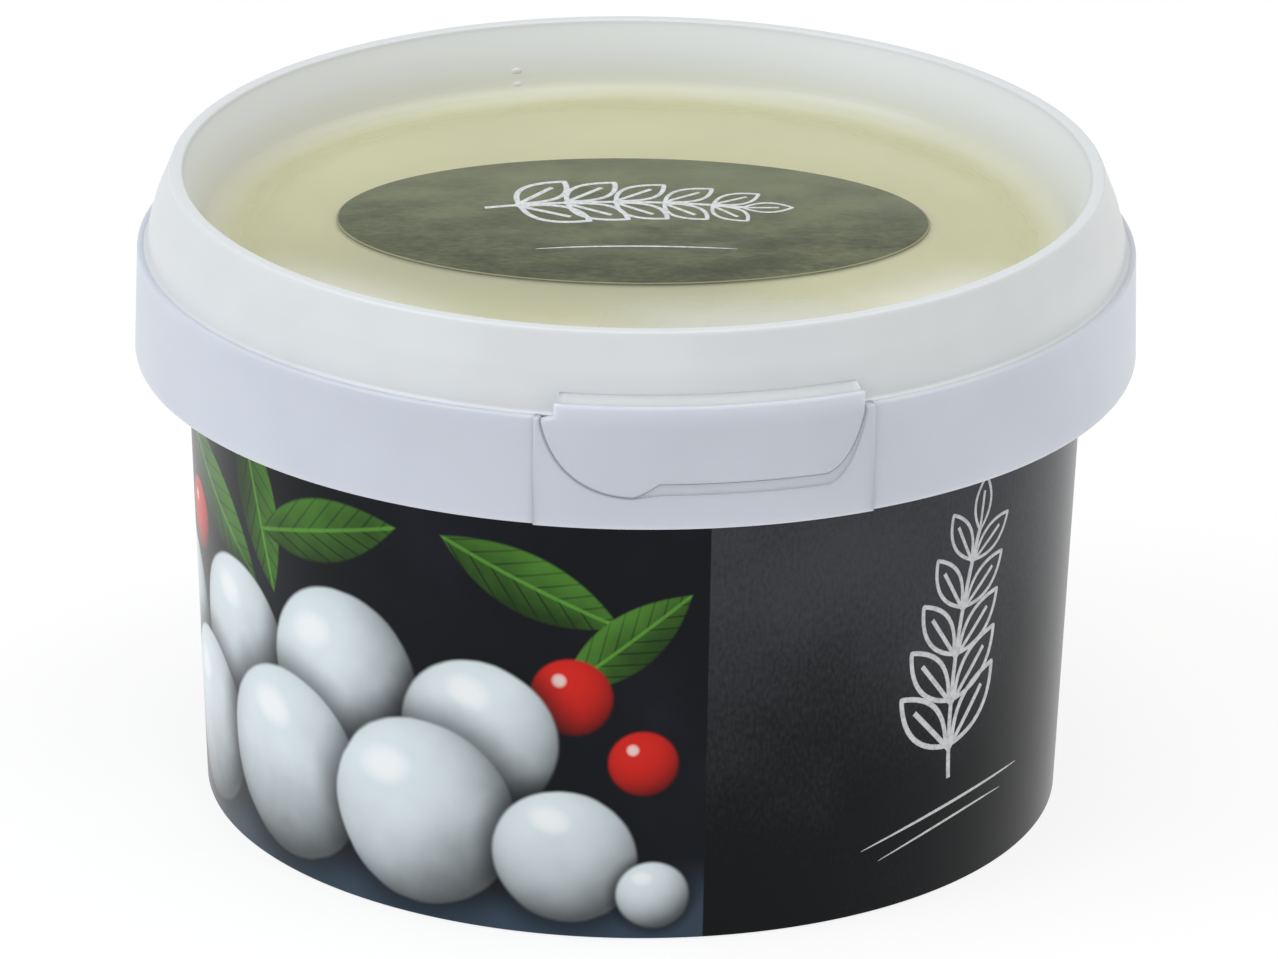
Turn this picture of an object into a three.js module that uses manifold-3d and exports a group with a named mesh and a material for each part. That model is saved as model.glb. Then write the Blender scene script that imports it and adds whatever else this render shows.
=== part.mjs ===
// A shut round tub of fresh goat cheese in whey: a moulded cup with a hanging collar, a press-fit lid with
// a sunk clear panel and a tear tab, the whey that fills the cup, a wrap-round label and an oval sticker.
// Millimetres, +Z up. The origin is the centre of the base. The tear tab faces -Y, and an angle round
// the tub counts in degrees from there towards +X.
import * as THREE from "three";
import { mergeVertices } from "three/addons/utils/BufferGeometryUtils.js";
import Module from "manifold-3d";

const wasm = await Module();
wasm.setup();

// Facets of a turned piece, and the points on a quarter-round
const SIDES = 64;
const ROUND_STEPS = 3;

// Gaps between neighbours: moulded pieces, and thin skins on what carries them
const FIT_GAP = 0.3;
const SKIN_GAP = 0.12;

// How far a cutter reaches past what it cuts
const CUT_MARGIN = 1.0;

// Cup
const BASE_RADIUS = 40.8;
const WALL_SLOPE = 0.04;
const WALL = 0.9;
const FLOOR = 1.2;
const FOOT_HEIGHT = 0.9;
const FOOT_RADIUS = 36.4;
const FOOT_ROUND = 0.3;
const FLOOR_ROUND = 1.1;
const CUP_RIM_HEIGHT = 59.6;
const CUP_RIM_INNER = 43.3;
const CUP_RIM_OUTER = 44.0;
const RIM_FLARE_HEIGHT = 53.2;

// Collar that hangs from the cup's ledge and leans in a little towards its upper edge
const COLLAR_RADIUS = 47.5;
const COLLAR_LEAN = 0.25;
const COLLAR_BOTTOM = 43.7;
const COLLAR_WALL = 1.0;
const LEDGE_HEIGHT = 54.1;
const LEDGE_THICKNESS = 1.5;
const LEDGE_INNER = 43.9;
const EDGE_ROUND = 0.4;

// Thicker, slightly proud stretch of the collar that carries the tab's recess
const PAD_FROM = -11.2;
const PAD_TO = 27.4;
const PAD_PROUD = 0.15;
const PAD_DROP = 0.05;
const PAD_INNER = 45.6;

// Lid
const LID_TOP = 61.5;
const BEAD_INNER = 43.0;
const BEAD_OUTER = 44.1;
const SHOULDER_FOOT = 46.3;
const SHOULDER_CREASE = [45.0, 59.2];
const SHOULDER_BEND = [45.5, 58.0];
const SHOULDER_BOTTOM = [46.1, 55.8];
const PANEL_WALL = 0.5;
const SHOULDER_WALL = 0.7;
const RECESS_WALL = 0.65;
const PANEL_HEIGHT = 54.9;
const RECESS_RADIUS = 40.4;
const RECESS_ROUND = 1.6;
const GROOVE_TOP = 59.95;

// Tear tab, laid out along the collar from its own middle
const TAB_ANGLE = 7.9;
const TAB_HALF_WIDTH = 14.95;
const TAB_SIDE_HEIGHT = 53.5;
const TAB_LOBE_LOW = 46.7;
const TAB_LOBE_END = -6.7;
const TAB_LOBE_BEND = [1.7, 0.3];
const TAB_NICK = 2.5;
const TAB_EDGE_LOW = 48.0;
const TAB_ROUND = [3.6, 1.0];
const TAB_ROUND_BEND = 1.05;
const TAB_INNER = 46.8;
const TAB_OUTER = 47.65;
const HINGE_FROM = -8.9;
const HINGE_TO = 25.6;
const HINGE_HEIGHT = 55.5;
const HINGE_ROOT_HEIGHT = 56.2;
const RECESS_FLOOR = 46.5;
const FINGER_GAP_LOW = 47.0;

// Label round the cup, with its seam at the back
const LABEL_THICKNESS = 0.3;
const LABEL_BOTTOM = 0.1;
const LABEL_TOP = 44.4;
const SEAM_HALF_ANGLE = 0.6;

// Oval sticker on the lid's panel
const STICKER_HALF_WIDTH = 28.15;
const STICKER_HALF_DEPTH = 17.3;
const STICKER_CENTRE = [-0.35, 3.2];
const STICKER_THICKNESS = 0.2;

const CUP_SKIN = LABEL_THICKNESS + SKIN_GAP;

// Radius of the label's face at a height, and of the cup's outer and inner walls under it
const labelRadius = (z) => BASE_RADIUS + WALL_SLOPE * z;
const cupOuter = (z) => labelRadius(z) - CUP_SKIN;
const cupInner = (z) => cupOuter(z) - WALL;

const plastic = new THREE.MeshStandardMaterial({ color: 0xe4e7ea, roughness: 0.35, metalness: 0 });
const clearPlastic = new THREE.MeshStandardMaterial({ color: 0xe9ebea, roughness: 0.2, metalness: 0 });
const whey = new THREE.MeshStandardMaterial({ color: 0xc9cba8, roughness: 0.15, metalness: 0 });
const labelInk = new THREE.MeshStandardMaterial({ color: 0x24252a, roughness: 0.4, metalness: 0 });
const stickerInk = new THREE.MeshStandardMaterial({ color: 0x6f7562, roughness: 0.45, metalness: 0 });

// A path through corners [x, y, round]: a corner with a round is cut back that far along both of its
// sides and bridged by a curve.
function roundedPath(corners, closed) {
  const path = new THREE.Path();
  const corner = (i) => new THREE.Vector2(...corners[(i + corners.length) % corners.length]);
  corners.forEach(([x, y, round = 0], i) => {
    const here = new THREE.Vector2(x, y);
    const ends = !closed && (i === 0 || i === corners.length - 1);
    const back = ends || !round ? here : here.clone().add(corner(i - 1).sub(here).setLength(round));
    const ahead = ends || !round ? here : here.clone().add(corner(i + 1).sub(here).setLength(round));
    if (i === 0) path.moveTo(back.x, back.y);
    else path.lineTo(back.x, back.y);
    if (round && !ends) path.quadraticCurveTo(x, y, ahead.x, ahead.y);
  });
  const points = path.getPoints(ROUND_STEPS);
  if (closed) points.push(points[0].clone());
  return points;
}

// A piece turned about +Z. Its profile of [radius, height, round] runs up the outside and down the
// inside, and starts and ends on the axis unless it is a ring.
function turned(profile, ring = false) {
  return new THREE.LatheGeometry(roundedPath(profile, ring), SIDES).rotateX(Math.PI / 2);
}

// A three.js geometry as a solid that can be joined and cut, and back
function solid(geometry) {
  const bare = geometry.clone();
  bare.deleteAttribute("normal");
  bare.deleteAttribute("uv");
  const merged = mergeVertices(bare, 1e-4);
  return new wasm.Manifold(
    new wasm.Mesh({
      numProp: 3,
      vertProperties: new Float32Array(merged.attributes.position.array),
      triVerts: new Uint32Array(merged.index.array),
    }),
  );
}

function geometryOf(body) {
  const { vertProperties, triVerts } = body.getMesh();
  const geometry = new THREE.BufferGeometry();
  geometry.setAttribute("position", new THREE.BufferAttribute(vertProperties, 3));
  geometry.setIndex(new THREE.BufferAttribute(triVerts, 1));
  geometry.computeVertexNormals();
  return geometry;
}

// A wedge of the whole round between two angles, tall and wide enough to cut any piece here
function wedge(fromAngle, toAngle) {
  const reach = 2 * COLLAR_RADIUS;
  const rim = (angle) => {
    const turn = THREE.MathUtils.degToRad(angle);
    return new THREE.Vector2(reach * Math.sin(turn), -reach * Math.cos(turn));
  };
  const slice = new THREE.Shape([new THREE.Vector2(0, 0), rim(fromAngle), rim(toAngle)]);
  return new THREE.ExtrudeGeometry(slice, { depth: LID_TOP, bevelEnabled: false });
}

// A solid block that pushes an outline, drawn across the tab's middle, straight through the collar
function pushedThroughCollar(outline) {
  const block = new THREE.ExtrudeGeometry(outline, {
    depth: TAB_HALF_WIDTH,
    bevelEnabled: false,
    curveSegments: 2 * ROUND_STEPS,
  });
  block.rotateX(Math.PI / 2);
  block.translate(0, -COLLAR_RADIUS + TAB_HALF_WIDTH / 2, 0);
  return solid(block.rotateZ(THREE.MathUtils.degToRad(TAB_ANGLE)));
}

// The tab's outline, or with a margin and a lower foot the outline of the recess behind it: a round
// lobe on the left, then a straight lower edge, and a tighter round on the right.
function tabOutline(margin, foot, top) {
  const side = TAB_HALF_WIDTH + margin;
  const lobe = TAB_LOBE_LOW - margin;
  const outline = new THREE.Shape();
  outline.moveTo(-side, top);
  outline.lineTo(-side, TAB_SIDE_HEIGHT);
  outline.quadraticCurveTo(-side + TAB_LOBE_BEND[0], lobe + TAB_LOBE_BEND[1], TAB_LOBE_END, lobe);
  outline.lineTo(TAB_LOBE_END + TAB_NICK, foot);
  outline.lineTo(side - TAB_ROUND[0], foot);
  outline.quadraticCurveTo(side - TAB_ROUND_BEND, foot + TAB_ROUND[1], side, TAB_SIDE_HEIGHT);
  outline.lineTo(side, top);
  return outline;
}

function cup() {
  const floorTop = FOOT_HEIGHT + FLOOR;
  const ledgeUnder = LEDGE_HEIGHT - LEDGE_THICKNESS;
  const skirtInner = COLLAR_RADIUS - COLLAR_WALL;
  const shell = turned([
    [0, FOOT_HEIGHT],
    [FOOT_RADIUS - FOOT_HEIGHT, FOOT_HEIGHT],
    [FOOT_RADIUS, 0],
    [cupOuter(0), 0, FOOT_ROUND],
    [cupOuter(ledgeUnder), ledgeUnder],
    [skirtInner, ledgeUnder, EDGE_ROUND],
    [skirtInner, COLLAR_BOTTOM],
    [COLLAR_RADIUS, COLLAR_BOTTOM, EDGE_ROUND],
    [COLLAR_RADIUS - COLLAR_LEAN, LEDGE_HEIGHT, EDGE_ROUND],
    [LEDGE_INNER, LEDGE_HEIGHT],
    [CUP_RIM_OUTER, CUP_RIM_HEIGHT, EDGE_ROUND],
    [CUP_RIM_INNER, CUP_RIM_HEIGHT, EDGE_ROUND],
    [cupInner(RIM_FLARE_HEIGHT), RIM_FLARE_HEIGHT],
    [cupInner(floorTop), floorTop, FLOOR_ROUND],
    [0, floorTop],
  ]);
  const padRadius = COLLAR_RADIUS + PAD_PROUD;
  const padRing = turned(
    [
      [PAD_INNER, COLLAR_BOTTOM - PAD_DROP],
      [padRadius, COLLAR_BOTTOM - PAD_DROP, EDGE_ROUND],
      [padRadius - COLLAR_LEAN, LEDGE_HEIGHT, EDGE_ROUND],
      [PAD_INNER, LEDGE_HEIGHT],
    ],
    true,
  );
  const pad = solid(padRing).intersect(solid(wedge(PAD_FROM, PAD_TO)));
  const behindTab = turned(
    [
      [RECESS_FLOOR, FINGER_GAP_LOW - CUT_MARGIN],
      [padRadius + CUT_MARGIN, FINGER_GAP_LOW - CUT_MARGIN],
      [padRadius + CUT_MARGIN, LEDGE_HEIGHT + CUT_MARGIN],
      [RECESS_FLOOR, LEDGE_HEIGHT + CUT_MARGIN],
    ],
    true,
  );
  const outline = tabOutline(FIT_GAP, FINGER_GAP_LOW, LEDGE_HEIGHT + CUT_MARGIN);
  const recess = solid(behindTab).intersect(pushedThroughCollar(outline));
  return geometryOf(solid(shell).add(pad).subtract(recess));
}

function lid() {
  // The recess wall leans out from the panel to the bead, and the cup's rim stands in the groove that
  // the wall's outer side and the shoulder leave.
  const lean = (BEAD_INNER - RECESS_RADIUS) / (LID_TOP - PANEL_HEIGHT);
  const wallBack = (z) => RECESS_RADIUS + RECESS_WALL + lean * (z - PANEL_HEIGHT);
  const panelUnder = PANEL_HEIGHT - PANEL_WALL;
  const footHeight = LEDGE_HEIGHT + FIT_GAP;
  const moulding = turned([
    [0, panelUnder],
    [wallBack(panelUnder), panelUnder, EDGE_ROUND],
    [wallBack(GROOVE_TOP), GROOVE_TOP, EDGE_ROUND],
    [SHOULDER_CREASE[0] - SHOULDER_WALL, GROOVE_TOP, EDGE_ROUND],
    [SHOULDER_FOOT - SHOULDER_WALL, footHeight],
    [SHOULDER_FOOT, footHeight],
    SHOULDER_BOTTOM,
    SHOULDER_BEND,
    SHOULDER_CREASE,
    [BEAD_OUTER, LID_TOP, EDGE_ROUND],
    [BEAD_INNER, LID_TOP, EDGE_ROUND],
    [RECESS_RADIUS, PANEL_HEIGHT, RECESS_ROUND],
    [0, PANEL_HEIGHT],
  ]);
  const tabRing = turned(
    [
      [TAB_INNER, TAB_LOBE_LOW - CUT_MARGIN],
      [TAB_OUTER, TAB_LOBE_LOW - CUT_MARGIN],
      [TAB_OUTER, HINGE_HEIGHT, EDGE_ROUND],
      [TAB_INNER, HINGE_HEIGHT],
    ],
    true,
  );
  // The hinge's top falls from the shoulder to the tab's outer face.
  const hingeRing = turned(
    [
      [SHOULDER_FOOT - SHOULDER_WALL / 2, footHeight],
      [TAB_OUTER, footHeight],
      [TAB_OUTER, HINGE_HEIGHT, EDGE_ROUND],
      [SHOULDER_FOOT - SHOULDER_WALL / 2, HINGE_ROOT_HEIGHT],
    ],
    true,
  );
  const tab = solid(tabRing).intersect(pushedThroughCollar(tabOutline(0, TAB_EDGE_LOW, LEDGE_HEIGHT)));
  const hinge = solid(hingeRing).intersect(solid(wedge(HINGE_FROM, HINGE_TO)));
  const root = solid(tabRing)
    .intersect(solid(wedge(HINGE_FROM, HINGE_TO)))
    .intersect(pushedThroughCollar(tabOutline(0, TAB_EDGE_LOW, LID_TOP)));
  return geometryOf(solid(moulding).add(hinge).add(root).add(tab));
}

function wheyFill() {
  const low = FOOT_HEIGHT + FLOOR + FIT_GAP;
  const level = PANEL_HEIGHT - PANEL_WALL - FIT_GAP;
  return turned([
    [0, low],
    [cupInner(low) - FIT_GAP, low, FLOOR_ROUND],
    [cupInner(level) - FIT_GAP, level],
    [0, level],
  ]);
}

function sideLabel() {
  const sleeve = turned(
    [
      [labelRadius(LABEL_BOTTOM) - LABEL_THICKNESS, LABEL_BOTTOM],
      [labelRadius(LABEL_BOTTOM), LABEL_BOTTOM],
      [labelRadius(LABEL_TOP), LABEL_TOP],
      [labelRadius(LABEL_TOP) - LABEL_THICKNESS, LABEL_TOP],
    ],
    true,
  );
  const seam = solid(wedge(180 - SEAM_HALF_ANGLE, 180 + SEAM_HALF_ANGLE));
  return geometryOf(solid(sleeve).subtract(seam));
}

function lidSticker() {
  const oval = new THREE.Shape();
  oval.absellipse(0, 0, STICKER_HALF_WIDTH, STICKER_HALF_DEPTH, 0, 2 * Math.PI);
  return new THREE.ExtrudeGeometry(oval, {
    depth: STICKER_THICKNESS,
    bevelEnabled: false,
    curveSegments: SIDES,
  });
}

function node(name, geometry, material) {
  const mesh = new THREE.Mesh(geometry, material);
  mesh.name = name;
  return mesh;
}

const tub = new THREE.Group();
tub.add(node("cup", cup(), plastic));
tub.add(node("whey", wheyFill(), whey));
tub.add(node("side_label", sideLabel(), labelInk));

const top = new THREE.Group();
top.add(node("lid", lid(), clearPlastic));
const sticker = node("lid_sticker", lidSticker(), stickerInk);
sticker.position.set(...STICKER_CENTRE, PANEL_HEIGHT + SKIN_GAP);
top.add(sticker);

const part = new THREE.Group();
part.add(tub, top);
export default part;
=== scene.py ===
"""A shut tub of goat burrata in whey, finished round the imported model.

Lengths are in metres in the model's own frame: +Z up, the tear tab towards -Y. An angle round the tub
counts in degrees from the front towards +X.
"""

import math

import bmesh
import bpy
import numpy as np
from bpy.props import FloatProperty, FloatVectorProperty, IntProperty, PointerProperty
from mathutils import Matrix, Vector


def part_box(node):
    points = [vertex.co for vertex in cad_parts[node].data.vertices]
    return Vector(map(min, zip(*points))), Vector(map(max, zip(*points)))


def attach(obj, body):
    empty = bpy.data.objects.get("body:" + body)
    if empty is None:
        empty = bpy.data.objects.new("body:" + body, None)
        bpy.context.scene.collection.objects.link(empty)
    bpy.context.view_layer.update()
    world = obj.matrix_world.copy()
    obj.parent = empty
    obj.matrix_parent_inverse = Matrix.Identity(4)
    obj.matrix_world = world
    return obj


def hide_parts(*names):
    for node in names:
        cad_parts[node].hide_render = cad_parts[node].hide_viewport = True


bl_info = {
    "name": "Tub of Goat Burrata",
    "version": (1, 0, 0),
    "blender": (4, 5, 0),
    "location": "View3D > Sidebar > Burrata",
    "description": "Builds a shut tub of goat burrata in whey with its lid, label, sticker and studio",
    "category": "Add Mesh",
}

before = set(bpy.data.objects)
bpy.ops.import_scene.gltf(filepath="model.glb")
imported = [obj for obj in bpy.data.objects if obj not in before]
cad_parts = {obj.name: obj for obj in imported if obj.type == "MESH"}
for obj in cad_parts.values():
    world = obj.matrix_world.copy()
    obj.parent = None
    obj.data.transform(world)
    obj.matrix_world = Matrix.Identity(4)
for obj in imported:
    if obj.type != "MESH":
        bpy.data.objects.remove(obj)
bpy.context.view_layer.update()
lid_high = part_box("lid")[1]
cup_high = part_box("cup")[1]
label_low, label_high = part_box("side_label")
sticker_low, sticker_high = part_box("lid_sticker")

MM = 0.001

# Facets of a turned piece, points on a round, the reach of the support beside a round, and the radius
# below which a point counts as lying on the axis
SIDES = 240
ROUND_STEPS = 6
SUPPORT = 0.12 * MM
ON_AXIS = 0.001 * MM

# How a bent plate is cut, in millimetres: points that are one point, the steps along it and where they
# start and stop, and how level a flat face is
PLATE_MERGE = 0.001
PLATE_STEP = 0.6
PLATE_STEP_FROM = 0.25
PLATE_STEP_STOP = 0.2
PLATE_LEVEL = 0.999
PLATE_ROUND_STEPS = 3

# Cup wall and foot
WALL_SLOPE = 0.04
WALL = 0.9 * MM
FLOOR = 1.2 * MM
FOOT_HEIGHT = 0.9 * MM
FOOT_RADIUS = 36.4 * MM
FOOT_ROUND = 0.3 * MM
FLOOR_ROUND = 1.1 * MM
CUP_RIM_INNER = 43.3 * MM
CUP_RIM_OUTER = 44.0 * MM
RIM_FLARE_HEIGHT = 53.2 * MM
GATE_MARK = 1.6 * MM
GATE_DEPTH = 0.3 * MM

# Collar and the thicker stretch of it round the tab
COLLAR_WALL = 1.0 * MM
LEDGE_THICKNESS = 1.5 * MM
LEDGE_INNER = 43.9 * MM
EDGE_ROUND = 0.35 * MM
PAD_FROM = -11.1
PAD_TO = 27.4
PAD_PROUD = 0.15 * MM
PAD_DROP = 0.05 * MM
PAD_INNER = 45.6 * MM
PAD_RISE = 0.02 * MM
PAD_EDGE = 0.18 * MM
PAD_OVERLAP = 0.05 * MM
PAD_MARGIN = 0.3
RECESS_FLOOR = 46.5 * MM
FINGER_GAP_LOW = 47.0 * MM

# Lid
BEAD_INNER = 42.95 * MM
BEAD_OUTER = 44.1 * MM
BEAD_ROUND = 0.22 * MM
SHOULDER_FOOT = 46.3 * MM
SHOULDER_FILLET = 0.42 * MM
SHOULDER_CREASE = (45.0 * MM, 59.2 * MM, 0.4 * MM)
SHOULDER_BEND = (45.5 * MM, 58.0 * MM, 0.5 * MM)
SHOULDER_BOTTOM = (46.1 * MM, 55.8 * MM, 0.5 * MM)
PANEL_WALL = 0.5 * MM
SHOULDER_WALL = 0.7 * MM
RECESS_WALL = 0.65 * MM
RECESS_RADIUS = 40.4 * MM
RECESS_ROUND = 1.6 * MM
PANEL_FADE = 6.5 * MM
GROOVE_TOP = 59.95 * MM
FOOT_CONTACT = 0.02 * MM
PIP_ANGLE = -163.1
PIP_HEIGHTS = (55.9 * MM, 57.15 * MM)
PIP_SIZE = (0.5 * MM, 0.13 * MM, 0.33 * MM)
PIP_FACETS = {"u_segments": 20, "v_segments": 12}

# Tear tab, laid out in arc length along the collar from its own middle
TAB_SIDE_HEIGHT = 53.5 * MM
TAB_LOBE_LOW = 46.7 * MM
TAB_LOBE_END = -6.7 * MM
TAB_LOBE_BEND = (1.7 * MM, 0.3 * MM)
TAB_NICK = 2.5 * MM
TAB_EDGE_LOW = 48.0 * MM
TAB_ROUND = (3.6 * MM, 1.0 * MM)
TAB_ROUND_BEND = 1.05 * MM
TAB_INNER = 46.75 * MM
TAB_OUTER = 47.65 * MM
TAB_EDGE = 0.3 * MM
# Where the painted highlight on the tab's face begins
TAB_HIGHLIGHT_FROM = 53.0 * MM
HINGE_FROM = -8.9
HINGE_HEIGHT = 55.5 * MM
HINGE_ROOT_HEIGHT = 56.2 * MM
HINGE_FOOT = 54.3 * MM
HINGE_INSET = 0.03 * MM
GROOVE_DEEP = 47.48 * MM
GROOVE_SHALLOW = 47.56 * MM
GROOVE_FALL = 0.04 * MM
GROOVE_BACK = 46.2 * MM
GROOVE_EDGE = 0.05 * MM
GROOVE_STEP = 0.6 * MM

# Side label and sticker
LABEL_THICKNESS = 0.3 * MM
SEAM_HALF_ANGLE = 0.6
STICKER_GAP = 0.01 * MM
STICKER_SHEET = 0.15 * MM
STICKER_EDGE = 0.08 * MM

# Where the lid's panel is paler near its front, each from 0 to full: towards the front, from the left and
# from the right
PALE_FRONT = (15 * MM, 23 * MM)
PALE_LEFT = (-8 * MM, 6 * MM)
PALE_RIGHT = (28 * MM, 14 * MM)

# Where the cheese shows through the whey, outwards and towards the front, and how deep it is seen, and
# where the sticker's shadow ends on the right
CHEESE_OUT = (22 * MM, 33 * MM)
CHEESE_FRONT = (4 * MM, 16 * MM)
CHEESE_SEEN = 8 * MM
SHADOW_RIGHT = (20 * MM, 4 * MM)

# Refraction, moulded plastic's roughness and soft depth, and its orange-peel skin
PLASTIC_IOR = 1.49
INK_IOR = 1.5
PAPER_IOR = 1.45
WHEY_IOR = 1.34
SATIN = 0.3
MILKY = 0.5
SKIN_STRENGTH = 0.12
SKIN_REACH = 0.05 * MM


def srgb(red, green, blue):
    """A colour read on a screen, 0 to 255, as the linear values that Blender mixes."""
    shares = (value / 255 for value in (red, green, blue))
    return tuple(v / 12.92 if v <= 0.04045 else ((v + 0.055) / 1.055) ** 2.4 for v in shares)


def length_of(name, text, default):
    """A length that a user may change."""
    return FloatProperty(name=name, description=text, default=default, unit="LENGTH", subtype="DISTANCE")


def angle_of(name, text, default):
    """An angle in degrees that a user may change."""
    return FloatProperty(name=name, description=text, default=default)


def colour_of(name, text, default):
    """A colour that a user may change."""
    limits = {"size": 3, "min": 0.0, "max": 1.0}
    return FloatVectorProperty(name=name, description=text, default=default, subtype="COLOR", **limits)


class BURRATA_PG_sizes(bpy.types.PropertyGroup):
    """Sizes of the tub."""

    collar_radius: length_of("Collar radius", "Outside of the collar at its lower edge", cup_high.x)
    collar_lean: length_of("Collar lean", "How far the collar's top lies inside its foot", 0.25 * MM)
    collar_bottom: length_of("Collar bottom", "Height of the collar's lower edge", 43.7 * MM)
    ledge_height: length_of("Ledge height", "Height of the collar's upper edge", 54.1 * MM)
    base_radius: length_of("Base radius", "Radius of the wall carried down to the floor", 40.8 * MM)
    rim_height: length_of("Cup rim height", "Height of the cup's own rim", cup_high.z)
    lid_top: length_of("Lid top", "Height of the lid's bead", lid_high.z)
    panel_height: length_of("Panel height", "Height of the lid's sunk panel", 54.9 * MM)
    tab_half_width: length_of("Tab half width", "Half the tear tab's width along the collar", 15.1 * MM)
    tab_gap: length_of("Tab gap", "Slit between the tear tab and the collar round it", 0.12 * MM)
    tab_angle: angle_of("Tab angle", "Middle of the tear tab, in degrees", 7.9)
    cheese_radius: length_of("Cheese radius", "Radius of the cheese that lies in the whey", 29.5 * MM)
    cheese_pleats: IntProperty(name="Pleats", description="Folds at the cheese's knot", default=11, min=3)


class BURRATA_PG_colours(bpy.types.PropertyGroup):
    """Colours of the tub and of its print."""

    plastic: colour_of("Plastic", "White plastic of the cup and collar", srgb(207, 212, 223))
    lid: colour_of("Lid", "Milky plastic of the lid's rim", srgb(226, 229, 231))
    whey: colour_of("Whey", "Cloudy whey under the clear panel", srgb(203, 201, 160))
    cheese: colour_of("Cheese", "Fresh cheese", srgb(246, 244, 236))
    night: colour_of("Print black", "Ground of the label's picture field", srgb(9, 10, 16))
    table: colour_of("Print blue", "Table at the foot of the label's picture field", srgb(58, 74, 90))
    slate: colour_of("Print slate", "Grey of the label's plain field", srgb(58, 59, 63))
    milk: colour_of("Print white", "White rounds on the label", srgb(214, 224, 228))
    leaf: colour_of("Print green", "Leaves on the label", srgb(70, 118, 40))
    berry: colour_of("Print red", "Berries on the label", srgb(196, 32, 22))
    sticker: colour_of("Sticker", "Olive grey of the lid's sticker", srgb(105, 110, 85))
    ink: colour_of("Ink", "Pale ink of the line drawings", srgb(226, 228, 230))


class BURRATA_PG_studio(bpy.types.PropertyGroup):
    """Camera and lights."""

    distance: length_of("Distance", "From the camera to the tub's middle", 0.95)
    elevation: angle_of("Elevation", "Camera height in degrees", 21.6)
    roll: angle_of("Roll", "Turn of the camera about its own line, in degrees", 0.67)
    lens: FloatProperty(name="Lens", description="Focal length in millimetres", default=280.0)
    key: FloatProperty(name="Key light", description="Power of the key light", default=7.5, unit="POWER")
    sky: FloatProperty(name="Sky", description="Strength of the white surroundings", default=0.45)


class Wire:
    """A number on its way through a node tree: a sum written on it adds the node that works it out."""

    def __init__(self, tree, socket):
        self.tree = tree
        self.socket = socket

    def maths(self, operation, *values):
        return self.tree.add("ShaderNodeMath", {"operation": operation}, values)

    def __add__(self, other):
        return self.maths("ADD", self, other)

    __radd__ = __add__

    def __sub__(self, other):
        return self.maths("SUBTRACT", self, other)

    def __rsub__(self, other):
        return self.maths("SUBTRACT", other, self)

    def __mul__(self, other):
        return self.maths("MULTIPLY", self, other)

    __rmul__ = __mul__

    def __truediv__(self, other):
        return self.maths("DIVIDE", self, other)

    def __pow__(self, other):
        return self.maths("POWER", self, other)

    def __neg__(self):
        return self * -1

    def __abs__(self):
        return self.maths("ABSOLUTE", self)

    def sine(self):
        return self.maths("SINE", self)

    def most(self, other):
        return self.maths("MAXIMUM", self, other)

    def reach(self, other):
        """How far a point lies from the middle, by its two numbers."""
        return (self * self + other * other) ** 0.5

    def rise(self, low, high):
        """0 below low, 1 above high and a smooth step between them. It falls where low is the larger."""
        sockets = {"Value": self, "From Min": low, "From Max": high}
        return self.tree.add("ShaderNodeMapRange", {"interpolation_type": "SMOOTHSTEP"}, sockets)


class Tree:
    """A node tree that is filled by type, settings and sockets."""

    def __init__(self, group):
        self.group = group

    def add(self, kind, settings=None, sockets=(), output=0):
        """Adds a node and returns one of its outputs. Sockets go by place or by name."""
        node = self.group.nodes.new(kind)
        for name, value in (settings or {}).items():
            setattr(node, name, value)
        pairs = sockets.items() if isinstance(sockets, dict) else enumerate(sockets)
        for key, value in pairs:
            self.plug(node.inputs[key], value)
        return Wire(self, node.outputs[output] if node.outputs else None)

    def plug(self, socket, value):
        if isinstance(value, Wire):
            self.group.links.new(value.socket, socket)
        else:
            socket.default_value = value

    def parts(self, vector):
        """The three numbers of a vector."""
        split = self.add("ShaderNodeSeparateXYZ", {}, [vector])
        return [Wire(self, socket) for socket in split.socket.node.outputs]

    def vector(self, x, y, z=0.0):
        return self.add("ShaderNodeCombineXYZ", {}, [x, y, z])


class Finish(Tree):
    """A material in the making, with its patterns on the piece's own coordinates."""

    def __init__(self, name):
        self.material = bpy.data.materials.new(name)
        self.material.use_nodes = True
        super().__init__(self.material.node_tree)
        self.group.nodes.clear()
        self.place = self.add("ShaderNodeTexCoord", output="Object")

    def noise(self, size, detail=2.0, where=None, stretch=(1, 1, 1)):
        """Cloudy noise from 0 to 1, with blots of about that size."""
        scale = [axis / size for axis in stretch]
        spread = self.add("ShaderNodeMapping", {}, {"Vector": where or self.place, "Scale": scale})
        return self.add("ShaderNodeTexNoise", {}, {"Vector": spread, "Scale": 1.0, "Detail": detail})

    def mixed(self, share, under, over):
        """A colour between two others."""
        mix = self.group.nodes.new("ShaderNodeMix")
        mix.data_type = "RGBA"
        self.plug(mix.inputs[0], share)
        for socket, colour in ((mix.inputs[6], under), (mix.inputs[7], over)):
            self.plug(socket, colour if isinstance(colour, Wire) else (*colour[:3], 1.0))
        return Wire(self, mix.outputs[2])

    def bump(self, height, strength, reach):
        sockets = {"Height": height, "Strength": strength, "Distance": reach}
        return self.add("ShaderNodeBump", {}, sockets, output="Normal")

    def surfaced(self, **sockets):
        """Ends the material in one surface shader. Socket names are written with underscores."""
        named = {name.replace("_", " "): value for name, value in sockets.items()}
        colour = named.get("Base Color")
        if colour is not None and not isinstance(colour, Wire):
            named["Base Color"] = (*colour[:3], 1.0)
        shader = self.add("ShaderNodeBsdfPrincipled", {}, {k: v for k, v in named.items() if k != "IOR"})
        if "IOR" in named:
            shader.socket.node.inputs["IOR"].default_value = named["IOR"]
        self.add("ShaderNodeOutputMaterial", {}, [shader])
        return self.material


def shade(colour, factor):
    """A colour made darker or lighter by a factor."""
    return tuple(min(1.0, value * factor) for value in colour[:3])


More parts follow.
